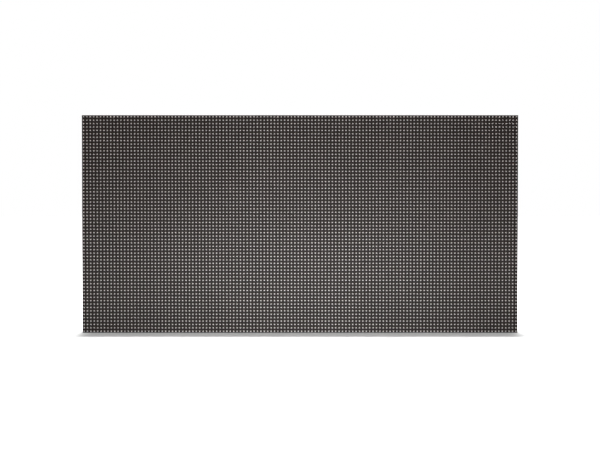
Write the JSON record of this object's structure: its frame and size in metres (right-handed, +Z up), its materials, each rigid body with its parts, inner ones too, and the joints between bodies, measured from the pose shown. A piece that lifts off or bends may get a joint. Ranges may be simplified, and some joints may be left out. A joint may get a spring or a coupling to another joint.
{
  "type": "led matrix display panel",
  "caption": "Flat rectangular RGB LED matrix display module: black louvred mask over a dense grid of round lamps, with a driver board and an open moulded rear frame.",
  "frame": {"origin": "centre of the threaded mounting inserts, on the frame's rear plane", "axes": "+X along the panel's long side, +Y out of its back, +Z up its short side; the lamps face -Y"},
  "size_m": [0.3198, 0.0168, 0.1598],
  "materials": {
    "mask_plastic": "fine-textured black polycarbonate",
    "lamp_package": "black package with a milky round window",
    "board_mask": "black solder mask over copper tracks",
    "frame_plastic": "moulded black plastic, light texture",
    "chip_epoxy": "dark moulded epoxy",
    "socket_plastic": "black moulded plastic",
    "header_nylon": "off-white nylon",
    "plinth_plastic": "black moulded plastic",
    "printed_ink": "white ink of the outlines printed on the board",
    "passive_ceramic": "tan ceramic of the small parts beside the chips",
    "solder_metal": "bright solder joints and tinned leads",
    "contact_metal": "bright tin plating",
    "can_aluminium": "drawn aluminium sleeve, black mark on top",
    "nut_brass": "turned brass",
    "screw_steel": "zinc-plated steel"
  },
  "bodies": {
    "root": {"front_mask": "mask_plastic", "circuit_board": "board_mask", "rear_frame": "frame_plastic", "lamp_columns_1": "lamp_package", "lamp_columns_2": "lamp_package", "lamp_columns_3": "lamp_package", "lamp_columns_4": "lamp_package", "lamp_columns_5": "lamp_package", "lamp_columns_6": "lamp_package", "lamp_columns_7": "lamp_package", "lamp_columns_8": "lamp_package", "driver_chips_1": "chip_epoxy", "driver_chips_2": "chip_epoxy", "driver_chips_3": "chip_epoxy", "driver_chips_4": "chip_epoxy", "driver_chips_5": "chip_epoxy", "driver_chips_6": "chip_epoxy", "driver_chips_7": "chip_epoxy", "driver_chips_8": "chip_epoxy", "row_chips_upper": "chip_epoxy", "row_chips_lower": "chip_epoxy", "buffer_chips_input": "chip_epoxy", "buffer_chips_output": "chip_epoxy", "ribbon_socket_input": "socket_plastic", "socket_pins_input": "contact_metal", "ribbon_socket_output": "socket_plastic", "socket_pins_output": "contact_metal", "power_header": "header_nylon", "power_pins": "contact_metal", "capacitor_bases": "plinth_plastic", "capacitor_cans": "can_aluminium", "board_nuts": "nut_brass", "mounting_inserts": "nut_brass", "locating_pins": "nut_brass", "frame_screws": "screw_steel"}
  },
  "joints": []
}
